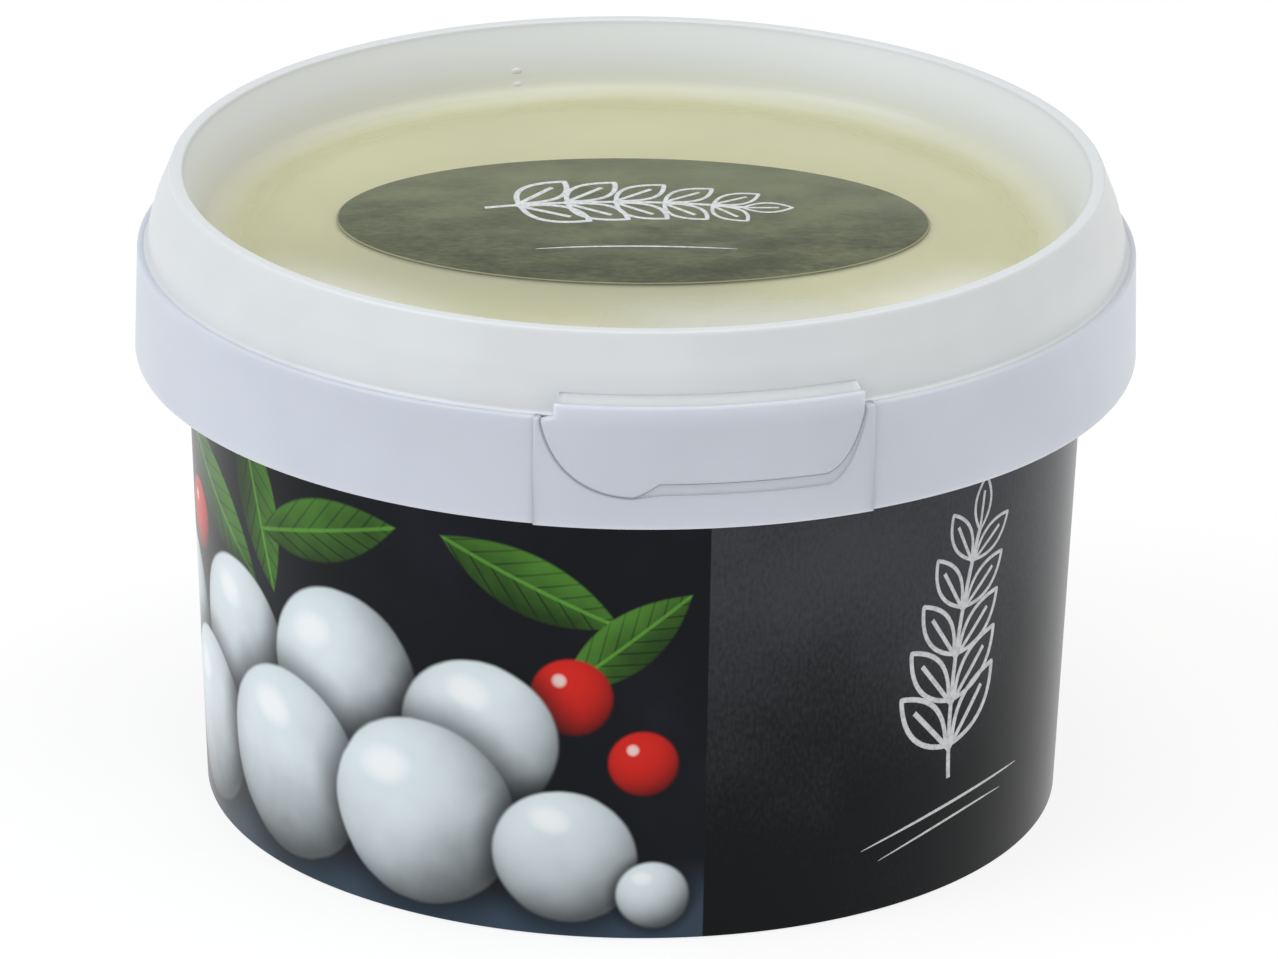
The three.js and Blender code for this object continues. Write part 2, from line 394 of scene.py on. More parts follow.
def rounded(corners, ring=False):
    """Points of a profile through corners (radius, height, round). A round cuts the corner back that far
    along both sides and bridges it with a curve."""
    points = []
    count = len(corners)
    for i, corner in enumerate(corners):
        here = np.array(corner[:2], float)
        cut = corner[2] if len(corner) > 2 else 0
        if not cut or (not ring and i in (0, count - 1)):
            points.append(here)
            continue
        back = np.array(corners[i - 1][:2]) - here
        ahead = np.array(corners[(i + 1) % count][:2]) - here
        back = here + back * cut / np.hypot(*back)
        ahead = here + ahead * cut / np.hypot(*ahead)
        points += curve_points(back, here, ahead)
    return supported(points, ring)


def curve_points(start, bend, end, steps=ROUND_STEPS):
    """Points of a quadratic curve, both ends included."""
    start, bend, end = (np.array(point, float) for point in (start, bend, end))
    shares = np.linspace(0, 1, steps + 1)
    return [(1 - t) ** 2 * start + 2 * t * (1 - t) * bend + t**2 * end for t in shares]


def supported(points, ring):
    """Adds a point near both ends of each long straight stretch, which keeps its shading flat."""
    dense = []
    stretches = len(points) if ring else len(points) - 1
    for i in range(stretches):
        here, ahead = points[i], points[(i + 1) % len(points)]
        span = np.hypot(*(ahead - here))
        dense.append(here)
        if span > 4 * SUPPORT:
            step = (ahead - here) * SUPPORT / span
            dense += [here + step, ahead - step]
    if not ring:
        dense.append(points[-1])
    return np.array(dense)


def placed(name, data):
    """An object in the scene, at the origin, that holds the data."""
    piece = bpy.data.objects.new(name, data)
    bpy.context.scene.collection.objects.link(piece)
    return piece


def shaded(mesh, smooth=True):
    """Shades every face of a mesh smooth or flat."""
    mesh.polygons.foreach_set("use_smooth", [smooth] * len(mesh.polygons))
    return mesh


def baked(piece):
    """The plain mesh that a curve or a modifier gives. The piece that carried it is removed."""
    bpy.context.view_layer.update()
    mesh = bpy.data.meshes.new_from_object(piece.evaluated_get(bpy.context.evaluated_depsgraph_get()))
    bpy.data.objects.remove(piece)
    return mesh


def mesh_piece(name, verts, faces):
    """A smooth-shaded mesh object at the origin."""
    mesh = bpy.data.meshes.new(name)
    mesh.from_pydata([tuple(map(float, v)) for v in verts], [], faces)
    shaded(mesh).update()
    return placed(name, mesh)


def tube_faces(rows, sides):
    """Faces of a closed tube of that many rows of points, with a cap at each end."""
    faces = [tuple(reversed(range(sides))), tuple(range((rows - 1) * sides, rows * sides))]
    for i in range(rows - 1):
        for k in range(sides):
            a, b = i * sides + k, i * sides + (k + 1) % sides
            faces.append((a, b, b + sides, a + sides))
    return faces


def around(radius, angle, height):
    """The point at a radius, an angle in degrees from the front, and a height."""
    turn = math.radians(angle)
    return (radius * math.sin(turn), -radius * math.cos(turn), height)


def turned(name, profile, ring=False, angles=None, narrowed=None):
    """A piece turned about the upright axis. The profile runs up the outside and down the inside. Angles
    give part of a round, with its ends closed, and narrowed(angle) gives the radii at an angle."""
    whole = angles is None or narrowed is not None
    angles = np.arange(SIDES) * 360 / SIDES if angles is None else angles
    verts = []
    rows = []
    poles = {}
    for angle in angles:
        radii = profile[:, 0] if narrowed is None else narrowed(angle)
        row = []
        for j, (radius, height) in enumerate(zip(radii, profile[:, 1])):
            if radius < ON_AXIS and j in poles:
                row.append(poles[j])
                continue
            if radius < ON_AXIS:
                poles[j] = len(verts)
            row.append(len(verts))
            verts.append(around(radius, angle, height))
        rows.append(row)
    faces = []
    for i in range(len(rows) if whole else len(rows) - 1):
        near, far = rows[i], rows[(i + 1) % len(rows)]
        for j in range(len(near) if ring else len(near) - 1):
            k = (j + 1) % len(near)
            faces.append(tuple(dict.fromkeys((near[j], far[j], far[k], near[k]))))
    if not whole:
        faces += [tuple(reversed(rows[0])), tuple(rows[-1])]
    piece = mesh_piece(name, verts, [face for face in faces if len(face) > 2])
    if not whole:
        for cap in piece.data.polygons[-2:]:
            cap.use_smooth = False
    return piece


def bent_plate(name, outline, inner, outer, edge, middle, bend_radius):
    """A plate with rounded edges, cut to an outline of (arc length, height) and bent round the tub. It is
    worked in millimetres, because a curve's fill joins points that lie too close."""
    curve = bpy.data.curves.new(name, "CURVE")
    curve.dimensions = "2D"
    curve.fill_mode = "BOTH"
    curve.extrude = ((outer - inner) / 2 - edge) / MM
    curve.bevel_depth = edge / MM
    curve.bevel_resolution = PLATE_ROUND_STEPS
    curve.offset = -edge / MM
    spline = curve.splines.new("POLY")
    spline.points.add(len(outline) - 1)
    for point, (along, height) in zip(spline.points, outline):
        point.co = (along / MM, height / MM, 0, 1)
    spline.use_cyclic_u = True
    mesh = baked(placed(name + "_flat", curve))
    work = bmesh.new()
    work.from_mesh(mesh)
    bmesh.ops.remove_doubles(work, verts=work.verts, dist=PLATE_MERGE)
    alongs = [vert.co.x for vert in work.verts]
    first, last = math.ceil(min(alongs)) + PLATE_STEP_FROM, max(alongs) - PLATE_STEP_STOP
    for cut in np.arange(first, last, PLATE_STEP):
        everything = [*work.verts, *work.edges, *work.faces]
        bmesh.ops.bisect_plane(work, geom=everything, plane_co=(cut, 0, 0), plane_no=(1, 0, 0))
    work.normal_update()
    flat_sides = {
        side: sum(abs(face.normal.z) > PLATE_LEVEL for face in side.link_faces) for side in work.edges
    }
    for vert in work.verts:
        along, height, depth = vert.co * MM
        angle = middle + math.degrees(along / bend_radius)
        vert.co = Vector(around((inner + outer) / 2 + depth, angle, height))
    for side, count in flat_sides.items():
        side.smooth = count != 1
    bmesh.ops.triangulate(work, faces=work.faces)
    bmesh.ops.recalc_face_normals(work, faces=work.faces)
    work.to_mesh(mesh)
    work.free()
    mesh.name = name
    return placed(name, shaded(mesh))


def outward(piece):
    """Turns a closed piece's faces outwards."""
    work = bmesh.new()
    work.from_mesh(piece.data)
    bmesh.ops.recalc_face_normals(work, faces=work.faces)
    work.to_mesh(piece.data)
    work.free()
    return piece


def joined(name, pieces):
    """Several pieces as one, each still a closed shell."""
    work = bmesh.new()
    for piece in pieces:
        work.from_mesh(piece.data)
        bpy.data.objects.remove(piece)
    mesh = bpy.data.meshes.new(name)
    work.to_mesh(mesh)
    work.free()
    return placed(name, mesh)


def fitted(piece, material, slot, *nodes):
    """Gives a piece its material and the nodes that it stands for. The slot is not used."""
    piece.data.materials.clear()
    piece.data.materials.append(material)
    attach(piece, "root")
    if nodes:
        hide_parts(*nodes)
    return piece


def label_radius(sizes, height):
    return sizes.base_radius + WALL_SLOPE * height


def cup_outer(sizes, height):
    return label_radius(sizes, height) - LABEL_THICKNESS


def cup_inner(sizes, height):
    return cup_outer(sizes, height) - WALL


def arc(sizes, angle):
    """Arc length along the collar from the tab's middle to an angle."""
    return math.radians(angle - sizes.tab_angle) * sizes.collar_radius


def tab_outline(sizes, margin, foot):
    """The tab's outline, or with a margin and a lower foot that of the recess behind it: a round lobe on
    the left, a straight lower edge and a tighter round on the right."""
    side = sizes.tab_half_width + margin
    lobe = TAB_LOBE_LOW - margin
    lobe_bend = (-side + TAB_LOBE_BEND[0], lobe + TAB_LOBE_BEND[1])
    lobe_end = (TAB_LOBE_END, lobe)
    nick_bend = (TAB_LOBE_END + TAB_NICK / 4, lobe + margin / 2)
    right_bend = (side - TAB_ROUND_BEND, foot + TAB_ROUND[1])
    points = curve_points((-side, TAB_SIDE_HEIGHT), lobe_bend, lobe_end, 4 * ROUND_STEPS)
    points += curve_points(lobe_end, nick_bend, (TAB_LOBE_END + TAB_NICK, foot))[1:]
    right_end = (side, TAB_SIDE_HEIGHT)
    return points + curve_points((side - TAB_ROUND[0], foot), right_bend, right_end, 3 * ROUND_STEPS)


def groove(sizes):
    """The floor of the gap round the tab: a slit on the left, wide and shallow under the tab's edge."""
    outer = tab_outline(sizes, sizes.tab_gap, FINGER_GAP_LOW)
    inner = tab_outline(sizes, 0, TAB_EDGE_LOW)
    top = sizes.ledge_height - GROOVE_EDGE
    outer = np.array([(outer[0][0], top), *outer, (outer[-1][0], top)])
    inner = np.array([(inner[0][0], top), *inner, (inner[-1][0], top)])
    # Long stretches are cut up, so that the floor follows the round collar.
    counts = np.ceil(np.hypot(*np.diff(outer, axis=0).T) / GROOVE_STEP).astype(int)
    places = [i + k / count for i, count in enumerate(counts) for k in range(count)] + [len(counts)]
    outer, inner = (
        [[np.interp(place, range(len(line)), line[:, axis]) for axis in (0, 1)] for place in places]
        for line in (outer, inner)
    )
    verts = []
    for low, high in zip(outer, inner):
        shallow = min(1, max(0, (low[0] - TAB_LOBE_END) / TAB_NICK))
        floor = GROOVE_DEEP + (GROOVE_SHALLOW - GROOVE_DEEP) * shallow
        corners = ((low, floor), (high, floor - GROOVE_FALL), (high, GROOVE_BACK), (low, GROOVE_BACK))
        for (along, height), radius in corners:
            angle = sizes.tab_angle + math.degrees(along / sizes.collar_radius)
            verts.append(around(radius, angle, height))
    piece = outward(mesh_piece("groove", verts, tube_faces(len(outer), 4)))
    shaded(piece.data, smooth=False)
    return piece


def plastic_finish(name, colour, roughness, translucence, pale=None):
    """Moulded plastic: soft depth, a fine orange-peel skin, faint flow clouds and light handling scuffs.
    It grows paler between two heights, where they are given, as a painted highlight."""
    finish = Finish(name)
    cloud = finish.noise(14 * MM, 2)
    skin = finish.noise(0.9 * MM, 1)
    scuff = finish.noise(2.2 * MM, 4, stretch=(1, 1, 3)).rise(0.62, 0.8)
    tone = finish.mixed(cloud.rise(0.3, 0.75), shade(colour, 0.965), shade(colour, 1.02))
    if pale:
        z = finish.parts(finish.place)[2]
        # Painted highlight: paler between the two heights.
        tone = finish.mixed(z.rise(*pale) * 0.7, tone, shade(colour, 1.16))
    return finish.surfaced(
        Base_Color=tone,
        Roughness=roughness + cloud * 0.05 + scuff * 0.09,
        Subsurface_Weight=translucence,
        Subsurface_Radius=(1.0, 0.95, 0.85),
        Subsurface_Scale=2.2 * MM,
        Normal=finish.bump(skin + cloud * 1.5, SKIN_STRENGTH, SKIN_REACH),
        IOR=PLASTIC_IOR,
    )


def lid_finish(colours, panel_radius, panel_top, lid_top):
    """The lid's plastic: milky round the rim, thinner and tinted by the whey down the recess, and nearly
    clear in the middle. The recess wall, its foot and the ring where the panel turns clear carry painted
    light."""
    finish = Finish("lid_plastic")
    x, y, z = finish.parts(finish.place)
    out = x.reach(y)
    cloud = finish.noise(11 * MM, 3)
    haze = finish.noise(26 * MM, 2).rise(0.35, 0.7)
    skin = finish.noise(0.9 * MM, 1)
    inside = (out + (cloud - 0.5) * 1.2 * MM).rise(panel_radius + 0.4 * MM, panel_radius - PANEL_FADE)
    half_clear = inside * (1 - inside) * 4
    recess = out.rise(panel_radius + 2.8 * MM, panel_radius + 2.2 * MM)
    low_wall = recess * z.rise(lid_top - 1 * MM, panel_top)
    foot = recess * z.rise(panel_top + 1.8 * MM, panel_top + 0.2 * MM)
    pale = ((cloud - 0.5) * 5 * MM - y).rise(*PALE_FRONT) * x.rise(*PALE_LEFT) * x.rise(*PALE_RIGHT)
    rim = z.rise(lid_top - 0.5 * MM, lid_top - 0.15 * MM)
    tone = finish.mixed(cloud.rise(0.3, 0.75), shade(colours.lid, 0.95), colours.lid)
    # Painted highlight: the bead's top is painted a touch lighter.
    tone = finish.mixed(rim, tone, shade(colours.lid, 1.02))
    # Painted light: the recess wall is painted lighter than the rim, standing in for light that comes
    # through the thin wall.
    painted_lit_recess = finish.mixed(recess * (1 - rim), tone, shade(colours.lid, 1.15))
    tinted = finish.mixed(low_wall * 0.35, painted_lit_recess, shade(colours.whey, 1.15))
    # The recess foot is tinted by the whey and painted lighter: painted light that lifts the shade in the
    # corner.
    tinted = finish.mixed(foot * (1 - pale) * 0.35, tinted, shade(colours.whey, 1.2))
    # The ring where the panel turns clear is tinted by the whey and painted lighter: painted light that
    # lifts the shade beneath the milky rim.
    tinted = finish.mixed(half_clear * (1 - pale) * 0.6, tinted, shade(colours.whey, 1.3))
    milky = 0.97 - low_wall * 0.12
    clear = 0.2 + haze * 0.08 + pale * 0.45
    return finish.surfaced(
        Base_Color=tinted,
        Roughness=0.3 - inside * 0.12 + cloud * 0.05,
        Alpha=milky - inside * (milky - clear),
        Normal=finish.bump(skin + cloud * 1.5, SKIN_STRENGTH, SKIN_REACH),
        IOR=PLASTIC_IOR,
    )


class BURRATA_OT_cup(bpy.types.Operator):
    """Makes the cup with its ledge, hanging collar and the recess for the tear tab"""

    bl_idname = "burrata.cup"
    bl_label = "Cup and collar"

    def execute(self, context):
        sizes = context.scene.burrata_sizes
        colours = context.scene.burrata_colours
        floor_top = FOOT_HEIGHT + FLOOR
        ledge_under = sizes.ledge_height - LEDGE_THICKNESS
        skirt_inner = sizes.collar_radius - COLLAR_WALL
        profile = rounded(
            [
                (0, FOOT_HEIGHT - GATE_DEPTH),
                (GATE_MARK, FOOT_HEIGHT - GATE_DEPTH, GATE_DEPTH / 2),
                (GATE_MARK + GATE_DEPTH, FOOT_HEIGHT, GATE_DEPTH / 2),
                (FOOT_RADIUS - FOOT_HEIGHT, FOOT_HEIGHT, EDGE_ROUND),
                (FOOT_RADIUS, 0, EDGE_ROUND),
                (cup_outer(sizes, 0), 0, FOOT_ROUND),
                (cup_outer(sizes, ledge_under), ledge_under, EDGE_ROUND),
                (skirt_inner, ledge_under, EDGE_ROUND),
                (skirt_inner, sizes.collar_bottom, EDGE_ROUND),
                (sizes.collar_radius, sizes.collar_bottom, EDGE_ROUND),
                (sizes.collar_radius - sizes.collar_lean, sizes.ledge_height, EDGE_ROUND),
                (LEDGE_INNER, sizes.ledge_height, EDGE_ROUND),
                (CUP_RIM_OUTER, sizes.rim_height, EDGE_ROUND),
                (CUP_RIM_INNER, sizes.rim_height, EDGE_ROUND),
                (cup_inner(sizes, RIM_FLARE_HEIGHT), RIM_FLARE_HEIGHT, EDGE_ROUND),
                (cup_inner(sizes, floor_top), floor_top, FLOOR_ROUND),
                (0, floor_top),
            ]
        )
        # Behind the pad the skirt is drawn in, so that the pad's own plates are all that shows there.
        below_ledge = profile[:, 1] < sizes.ledge_height - LEDGE_THICKNESS / 2
        outer_face = profile[:, 0] > skirt_inner + COLLAR_WALL / 2
        inner_face = (profile[:, 0] > PAD_INNER) & ~outer_face & below_ledge
        behind_pad = profile[:, 0].copy()
        behind_pad[outer_face] = RECESS_FLOOR - PAD_OVERLAP
        behind_pad[inner_face] = PAD_INNER + PAD_PROUD
        pad_from, pad_to = PAD_FROM + PAD_MARGIN, PAD_TO - PAD_MARGIN

        def radii(angle):
            return behind_pad if pad_from < (angle + 180) % 360 - 180 < pad_to else profile[:, 0]

        steps = np.arange(SIDES) * 360 / SIDES
        ends = [edge + step * PAD_MARGIN / 10 for edge in (pad_from, pad_to) for step in (-3, -1, 1, 3)]
        angles = np.sort(np.concatenate([steps, np.array(ends) % 360]))
        shell = turned("cup_shell", profile, angles=angles, narrowed=radii)
        bottom, top = sizes.collar_bottom - PAD_DROP, sizes.ledge_height + PAD_RISE
        left, right = arc(sizes, PAD_FROM), arc(sizes, PAD_TO)
        notch = tab_outline(sizes, sizes.tab_gap, FINGER_GAP_LOW)
        notch = [(notch[0][0], top), *notch, (notch[-1][0], top)]
        surround = [(left, top), (left, bottom), (right, bottom), (right, top), *reversed(notch)]
        radius = sizes.collar_radius
        bend = (sizes.tab_angle, radius)
        rim = bent_plate("pad_rim", surround, PAD_INNER, radius + PAD_PROUD, PAD_EDGE, *bend)
        left, right = left + PAD_EDGE, right - PAD_EDGE
        bottom, top = bottom + PAD_EDGE / 2, top - PAD_EDGE / 2
        back = [(left, top), (left, bottom), (right, bottom), (right, top)]
        wall = bent_plate("pad_back", back, PAD_INNER, RECESS_FLOOR, PAD_EDGE / 2, *bend)
        cup = joined("cup_shell", [shell, rim, wall, groove(sizes)])
        material = plastic_finish("white_plastic", colours.plastic, SATIN, MILKY)
        fitted(cup, material, "white_plastic", "cup")
        return {"FINISHED"}


class BURRATA_OT_lid(bpy.types.Operator):
    """Makes the lid with its bead, shoulder and sunk clear panel, and the tear tab on its hinge"""

    bl_idname = "burrata.lid"
    bl_label = "Lid and tear tab"

    def execute(self, context):
        sizes = context.scene.burrata_sizes
        colours = context.scene.burrata_colours
        lean = (BEAD_INNER - RECESS_RADIUS) / (sizes.lid_top - sizes.panel_height)

        def wall_back(height):
            return RECESS_RADIUS + RECESS_WALL + lean * (height - sizes.panel_height)

        panel_under = sizes.panel_height - PANEL_WALL
        foot = sizes.ledge_height - FOOT_CONTACT
        profile = rounded(
            [
                (0, panel_under),
                (wall_back(panel_under), panel_under, EDGE_ROUND),
                (wall_back(GROOVE_TOP), GROOVE_TOP, EDGE_ROUND),
                (SHOULDER_CREASE[0] - SHOULDER_WALL, GROOVE_TOP, EDGE_ROUND),
                (SHOULDER_FOOT - SHOULDER_WALL, foot),
                (SHOULDER_FOOT + SHOULDER_FILLET * 1.1, foot),
                (SHOULDER_FOOT, sizes.ledge_height + FOOT_CONTACT, SHOULDER_FILLET),
                SHOULDER_BOTTOM,
                SHOULDER_BEND,
                SHOULDER_CREASE,
                (BEAD_OUTER, sizes.lid_top, BEAD_ROUND),
                (BEAD_INNER, sizes.lid_top, BEAD_ROUND),
                (RECESS_RADIUS, sizes.panel_height, RECESS_ROUND),
                (0, sizes.panel_height),
            ]
        )
        shell = turned("lid_shell", profile)

        # The tab and its head share one flush face. The hinge behind them falls from the shoulder to it.
        radius = sizes.collar_radius
        left = arc(sizes, HINGE_FROM)
        flap = tab_outline(sizes, 0, TAB_EDGE_LOW)
        side_left, side_right = flap[0][0], flap[-1][0]
        head = [(side_right, HINGE_HEIGHT), (left, HINGE_HEIGHT), (left, HINGE_FOOT)]
        head.append((side_left, HINGE_FOOT - TAB_EDGE))
        bend = (sizes.tab_angle, radius)
        flap = bent_plate("tear_tab", [*flap, *head], TAB_INNER, TAB_OUTER, TAB_EDGE, *bend)
        foot = sizes.ledge_height + FOOT_CONTACT
        root, face = SHOULDER_FOOT - SHOULDER_WALL / 2, (TAB_INNER + TAB_OUTER) / 2
        wedge = [(root, foot), (face, foot)]
        wedge += [(face, HINGE_HEIGHT - HINGE_INSET), (root, HINGE_ROOT_HEIGHT)]
        right_end = sizes.tab_angle + math.degrees(side_right / radius)
        angles = np.linspace(HINGE_FROM + PAD_MARGIN, right_end - PAD_MARGIN, SIDES // 6)
        hinge = turned("tab_hinge", rounded(wedge, ring=True), ring=True, angles=angles)
        material = lid_finish(colours, RECESS_RADIUS, sizes.panel_height, sizes.lid_top)
        fitted(shell, material, "lid_plastic", "lid")
        # The hinge has a darker copy of the lid's plastic: painted shade on its upward-facing slope.
        material = plastic_finish("hinge_plastic", shade(colours.lid, 0.87), SATIN, MILKY)
        fitted(hinge, material, "lid_plastic", "lid")
        # The tab's face is painted paler towards its top, a painted highlight where its rounded top edge
        # catches the light.
        pale = (TAB_HIGHLIGHT_FROM, HINGE_HEIGHT)
        material = plastic_finish("tab_plastic", colours.plastic, SATIN, MILKY, pale)
        fitted(flap, material, "lid_plastic", "lid")

        pips = []
        for height in PIP_HEIGHTS:
            reach = RECESS_RADIUS + lean * (height - sizes.panel_height)
            spin = Matrix.Rotation(math.radians(PIP_ANGLE), 4, "Z")
            work = bmesh.new()
            bmesh.ops.create_uvsphere(work, radius=1, **PIP_FACETS)
            for vert in work.verts:
                vert.co = Vector([size * value for size, value in zip(PIP_SIZE, vert.co)])
                vert.co = spin @ (vert.co + Vector((0, -reach, height)))
            mesh = bpy.data.meshes.new("pip")
            work.to_mesh(mesh)
            work.free()
            pips.append(placed("pip", shaded(mesh)))
        # The pips are painted near white: a painted highlight, as they catch the light.
        material = plastic_finish("pip_plastic", shade(colours.lid, 1.35), 0.25, 0.3)
        fitted(joined("moulding_pips", pips), material, "lid_plastic")
        return {"FINISHED"}


def new_geometry_tree(name, inputs):
    """A Geometry Nodes group with named inputs: {name: (socket type, default)}."""
    group = bpy.data.node_groups.new(name, "GeometryNodeTree")
    group.interface.new_socket("Geometry", in_out="OUTPUT", socket_type="NodeSocketGeometry")
    for label, (kind, default) in inputs.items():
        socket = group.interface.new_socket(label, in_out="INPUT", socket_type=kind)
        if default is not None:
            socket.default_value = default
    tree = Tree(group)
    start = group.nodes.new("NodeGroupInput")
    given = {label: Wire(tree, start.outputs[label]) for label in inputs}
    return tree, given


def end_geometry_tree(tree, geometry, material):
    """Ends a group in Realize Instances and Set Material."""
    real = tree.add("GeometryNodeRealizeInstances", {}, [geometry])
    finished = tree.add("GeometryNodeSetMaterial", {}, {"Geometry": real, "Material": material})
    tree.add("NodeGroupOutput", {}, [finished])


def grown(name, tree, settings):
    """The plain mesh that a Geometry Nodes group gives, with its inputs set by identifier."""
    seed = placed(name + "_seed", bpy.data.meshes.new(name + "_seed"))
    modifier = seed.modifiers.new("growth", "NODES")
    modifier.node_group = tree.group
    for item in tree.group.interface.items_tree:
        if item.in_out == "INPUT" and item.name in settings:
            modifier[item.identifier] = settings[item.name]
    mesh = baked(seed)
    mesh.name = name
    return placed(name, shaded(mesh))


# How far the whey reaches into the wall and how close it comes to the panel's upper face, where the
# cheese lies in it, and how the cheese is gathered and flattened
WHEY_INTO_WALL = 0.05 * MM
WHEY_GAP = 0.15 * MM
CHEESE_PLACE = (4.0 * MM, -7.0 * MM)
CHEESE_TOP_GAP = 1.0 * MM
PLEAT_DEPTH = 0.06
KNOT_HEIGHT = 0.13
FLATNESS = 0.8


def cheese_tree():
    """A ball of fresh cheese gathered into pleats round a small knot."""
    inputs = {
        "Radius": ("NodeSocketFloat", 30 * MM),
        "Pleats": ("NodeSocketFloat", 11.0),
        "Pleat Depth": ("NodeSocketFloat", PLEAT_DEPTH),
        "Knot Height": ("NodeSocketFloat", KNOT_HEIGHT),
        "Seed": ("NodeSocketFloat", 4.0),
        "Material": ("NodeSocketMaterial", None),
    }
    tree, given = new_geometry_tree("gathered_cheese", inputs)
    ball = tree.add("GeometryNodeMeshUVSphere", {}, {"Segments": 144, "Rings": 84, "Radius": 1.0})
    place = tree.add("GeometryNodeInputPosition")
    x, y, z = tree.parts(place)
    turn = x.maths("ARCTAN2", y, x)
    noise_at = {"Vector": place, "W": given["Seed"], "Scale": 1.6, "Detail": 2.0}
    lumps = tree.add("ShaderNodeTexNoise", {"noise_dimensions": "4D"}, noise_at)
    upper = z.rise(0.1, 0.95)
    pleat = (turn * given["Pleats"] + lumps * 9.0).sine() * given["Pleat Depth"] * upper
    swell = 1.0 + pleat + (lumps - 0.5) * 0.08 - z.rise(0.82, 0.97) * 0.05
    neck = z.rise(0.93, 1.0)
    waist = swell - neck * 0.1
    radius = given["Radius"]
    moved = tree.vector(
        x * waist * radius * (1 + neck * 0.5),
        y * waist * radius * (1 + neck * 0.5),
        (z * swell * FLATNESS + neck * given["Knot Height"]) * radius,
    )
    shaped = tree.add("GeometryNodeSetPosition", {}, {"Geometry": ball, "Position": moved})
    end_geometry_tree(tree, shaped, given["Material"])
    return tree


def in_sticker(x, y):
    """Where a point lies in the sticker's oval: from its front edge at -1 to its back at 1, and how far
    from its middle, with 1 at the edge."""
    centre, half = (sticker_low + sticker_high) / 2, (sticker_high - sticker_low) / 2
    across, deep = (x - centre.x) / half.x, (y - centre.y) / half.y
    return deep, across.reach(deep)


class BURRATA_OT_filling(bpy.types.Operator):
    """Makes the whey up to the lid and the gathered cheese that lies in it"""

    bl_idname = "burrata.filling"
    bl_label = "Whey and cheese"

    def execute(self, context):
        sizes = context.scene.burrata_sizes
        colours = context.scene.burrata_colours
        low = FOOT_HEIGHT + FLOOR - WHEY_INTO_WALL
        level = sizes.panel_height - WHEY_GAP
        profile = rounded(
            [
                (0, low),
                (cup_inner(sizes, low) + WHEY_INTO_WALL, low, FLOOR_ROUND),
                (cup_inner(sizes, level) + WHEY_INTO_WALL, level),
                (0, level),
            ]
        )
        whey = turned("whey_fill", profile)
        finish = Finish("whey")
        x, y, z = finish.parts(finish.place)
        cloud = finish.noise(17 * MM, 3)
        out = x.reach(y) + (cloud - 0.5) * 8 * MM
        near = out.rise(*CHEESE_OUT) * (-y).rise(*CHEESE_FRONT) * z.rise(level - CHEESE_SEEN, level)
        deep, under = in_sticker(x, y)
        tone = finish.mixed(cloud.rise(0.3, 0.7), shade(colours.whey, 0.96), shade(colours.whey, 1.03))
        tone = finish.mixed(near * 0.95, tone, shade(colours.cheese, 0.92))
        shadow = under.rise(1.7, 0.95) * deep.rise(0.2, -0.9) * x.rise(*SHADOW_RIGHT)
        tone = finish.mixed(shadow, tone, shade(colours.whey, 0.71))
        material = finish.surfaced(
            Base_Color=tone,
            Roughness=0.12 + cloud * 0.05,
            Subsurface_Weight=0.8,
            Subsurface_Radius=(1.0, 1.0, 0.6),
            Subsurface_Scale=2.8 * MM,
            IOR=WHEY_IOR,
        )
        fitted(whey, material, "whey", "whey")

        finish = Finish("fresh_cheese")
        grain = finish.noise(1.2 * MM, 3)
        material = finish.surfaced(
            Base_Color=finish.mixed(grain.rise(0.3, 0.7), shade(colours.cheese, 0.95), colours.cheese),
            Roughness=0.35 + grain * 0.1,
            Subsurface_Weight=0.5,
            Subsurface_Radius=(1.0, 0.8, 0.6),
            Subsurface_Scale=2 * MM,
            Normal=finish.bump(grain, 0.3, 0.1 * MM),
        )
        settings = {
            "Radius": sizes.cheese_radius,
            "Pleats": float(sizes.cheese_pleats),
            "Pleat Depth": PLEAT_DEPTH,
            "Knot Height": KNOT_HEIGHT,
            "Material": material,
        }
        cheese = grown("burrata", cheese_tree(), settings)
        highest = max(vert.co.z for vert in cheese.data.vertices)
        lift = level - CHEESE_TOP_GAP - highest
        cheese.data.transform(Matrix.Translation((*CHEESE_PLACE, lift)))
        fitted(cheese, material, "whey")
        return {"FINISHED"}


# The label's print, on the unrolled label in millimetres: arc length from the front, and height. A pearl
# and a leaf have their middle, two half sizes and a turn in degrees, a berry its middle and radius.
ROLL_RADIUS = 41.7
PICTURE_FROM = -80.0
PICTURE_TO = 7.05
PICTURE_BLUR = 0.05
PEARLS = (
    (-62.0, 19.0, 7.6, 7.2, 10.0),
    (-45.5, 21.0, 8.4, 8.1, -8.0),
    (-29.5, 22.5, 8.9, 8.6, 14.0),
    (-14.5, 19.5, 7.9, 7.7, -20.0),
    (-54.0, 10.0, 8.9, 8.5, 6.0),
    (-37.0, 11.2, 10.0, 9.5, -5.0),
    (-20.5, 10.8, 9.8, 9.4, 12.0),
    (-6.2, 8.2, 7.0, 6.7, -12.0),
    (2.2, 4.6, 3.5, 3.4, 0.0),
)
LEAVES = (
    (-50.0, 34.0, 10.5, 3.5, -34.0),
    (-41.0, 37.0, 9.5, 3.3, -74.0),
    (-31.5, 36.5, 9.5, 3.3, 16.0),
    (-9.5, 35.5, 9.5, 3.2, -24.0),
    (-0.5, 30.0, 8.0, 2.9, 40.0),
)
BERRIES = ((-5.5, 24.5, 3.9), (1.2, 18.0, 3.3), (-56.5, 29.5, 3.6))


def in_motif(finish, spread, along, up, half_length, half_width, turn):
    """Where a point lies in a motif, along it and across it, from -1 to 1."""
    sockets = {
        "Vector": spread,
        "Location": (along, up, 0),
        "Rotation": (0, 0, math.radians(turn)),
        "Scale": (half_length, half_width, 1),
    }
    p, q, _ = finish.parts(finish.add("ShaderNodeMapping", {"vector_type": "TEXTURE"}, sockets))
    return p, q


